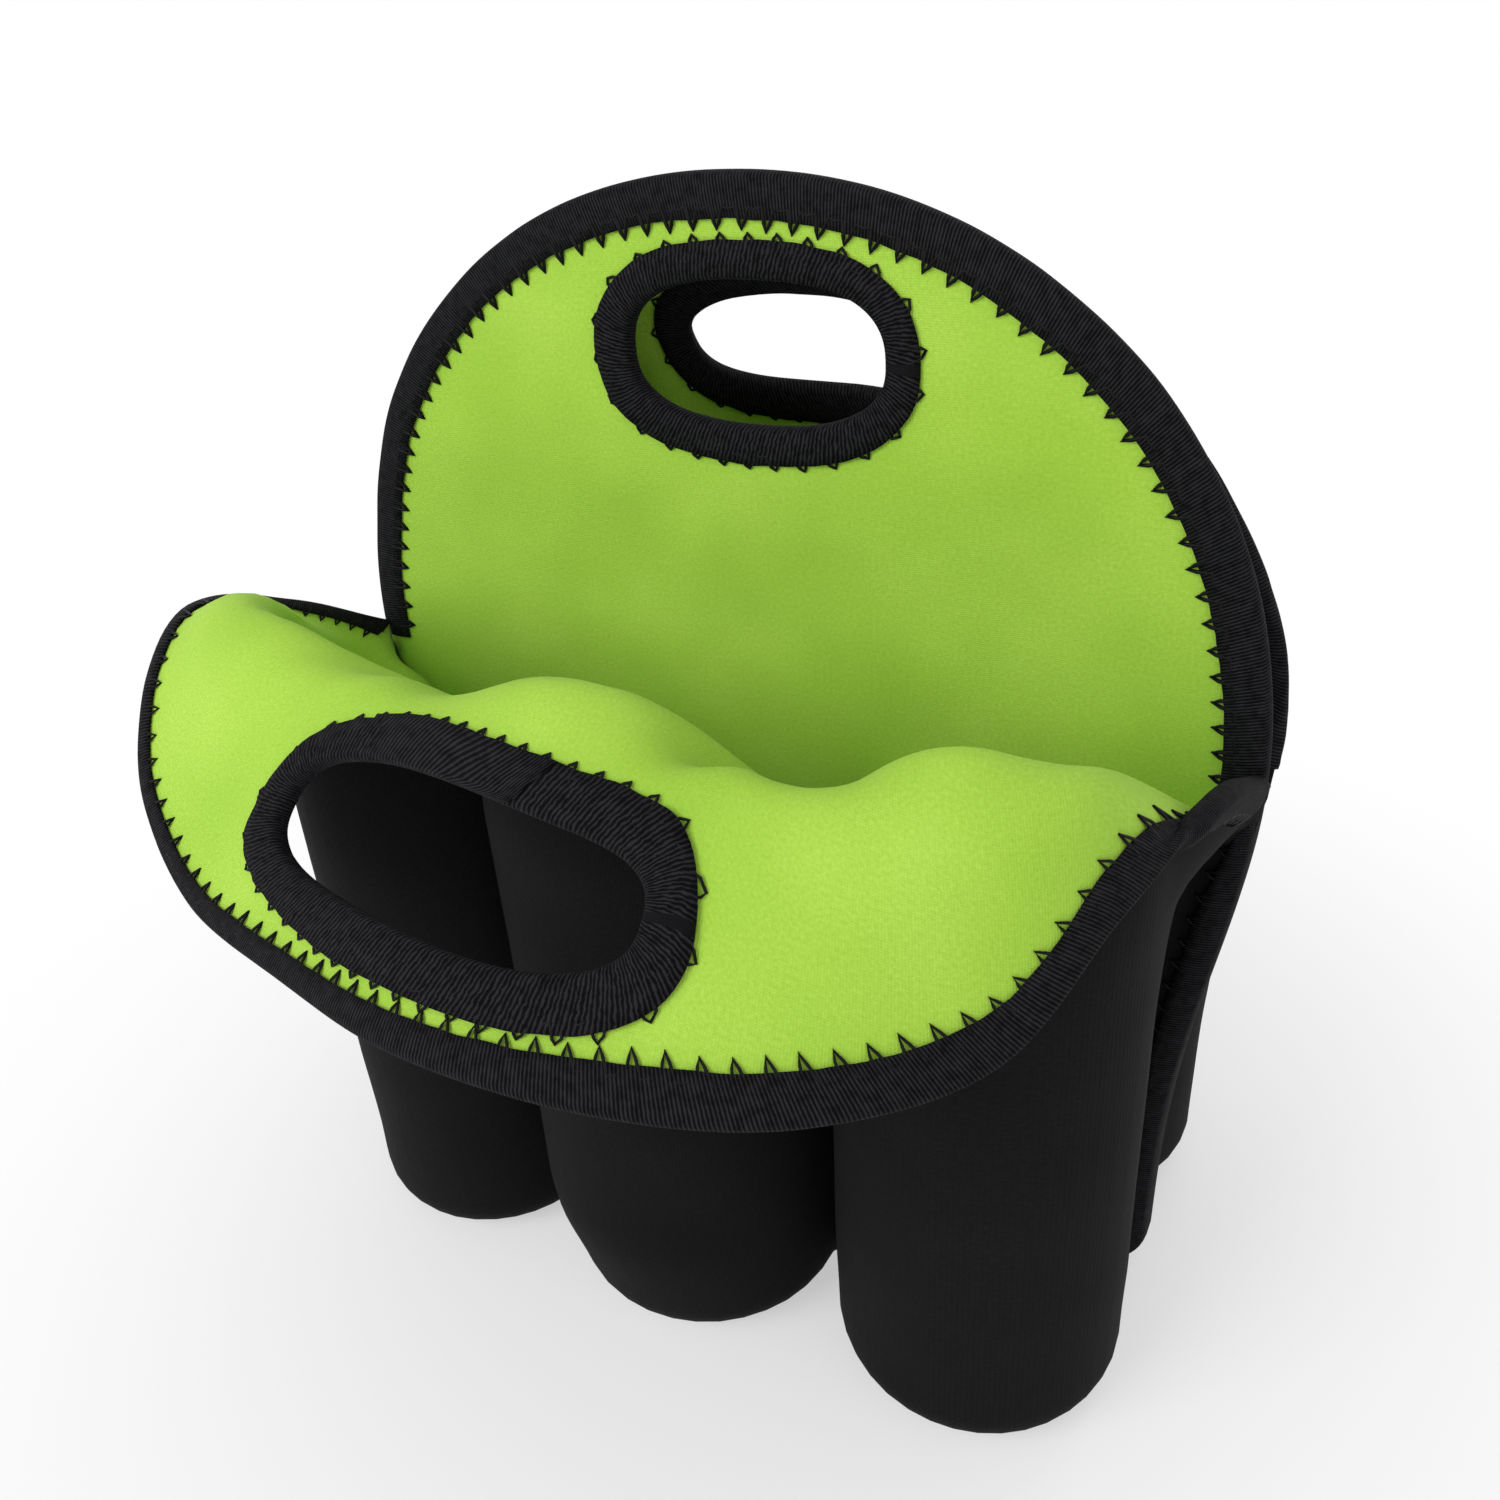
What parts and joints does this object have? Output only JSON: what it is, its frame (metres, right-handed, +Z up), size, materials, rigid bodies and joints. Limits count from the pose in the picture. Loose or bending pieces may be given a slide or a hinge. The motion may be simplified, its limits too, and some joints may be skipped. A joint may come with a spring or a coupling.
{
  "type": "drink tote bag",
  "caption": "Soft carrier with rows of round bottle pockets either side of an upright divider, and arched carrying flaps with oval handle holes and bound edges.",
  "frame": {"origin": "on the floor, under the middle of the divider", "axes": "+X along the rows of pockets, +Y from the folded front flap to the back flap, +Z up"},
  "size_m": [0.2629, 0.2247, 0.2864],
  "materials": {
    "black_knit": "smooth black knit over soft foam",
    "lime_knit": "smooth lime green knit over soft foam",
    "black_tape": "ribbed black binding tape with zigzag stitching"
  },
  "bodies": {
    "pockets": {"front_pocket_shell": "black_knit", "front_pocket_lining": "lime_knit", "back_pocket_shell": "black_knit", "back_pocket_lining": "lime_knit", "divider_lower": "lime_knit", "front_web_left": "lime_knit", "front_web_right": "lime_knit", "back_web_left": "lime_knit", "back_web_right": "lime_knit", "base_panel": "black_knit", "base_lining": "lime_knit", "side_seam_tape_left": "black_tape", "side_seam_tape_right": "black_tape", "front_collar_tape_left": "black_tape", "front_collar_tape_right": "black_tape", "back_collar_tape_left": "black_tape", "back_collar_tape_right": "black_tape"},
    "front_flap": {"front_flap_shell": "black_knit", "front_flap_lining": "lime_knit", "front_flap_edge_tape": "black_tape", "front_flap_handle_tape": "black_tape"},
    "divider_flap": {"divider_flap": "lime_knit", "divider_flap_edge_tape": "black_tape", "divider_flap_handle_tape": "black_tape"},
    "back_flap": {"back_flap_shell": "black_knit", "back_flap_lining": "lime_knit", "back_flap_edge_tape": "black_tape", "back_flap_handle_tape": "black_tape"}
  },
  "joints": [
    {"name": "front_flap_fold", "type": "hinge", "parent": "pockets", "child": "front_flap", "pos_m": [0, -0.09046, 0.20583], "axis": [-1, 0, 0], "range_deg": [0, 150]},
    {"name": "divider_fold", "type": "hinge", "parent": "pockets", "child": "divider_flap", "pos_m": [0, -0.0034, 0.166], "axis": [1, 0, 0], "range_deg": [0, 20]},
    {"name": "back_flap_fold", "type": "hinge", "parent": "pockets", "child": "back_flap", "pos_m": [0, 0.06847, 0.203], "axis": [-1, 0, 0], "range_deg": [0, 150]}
  ]
}
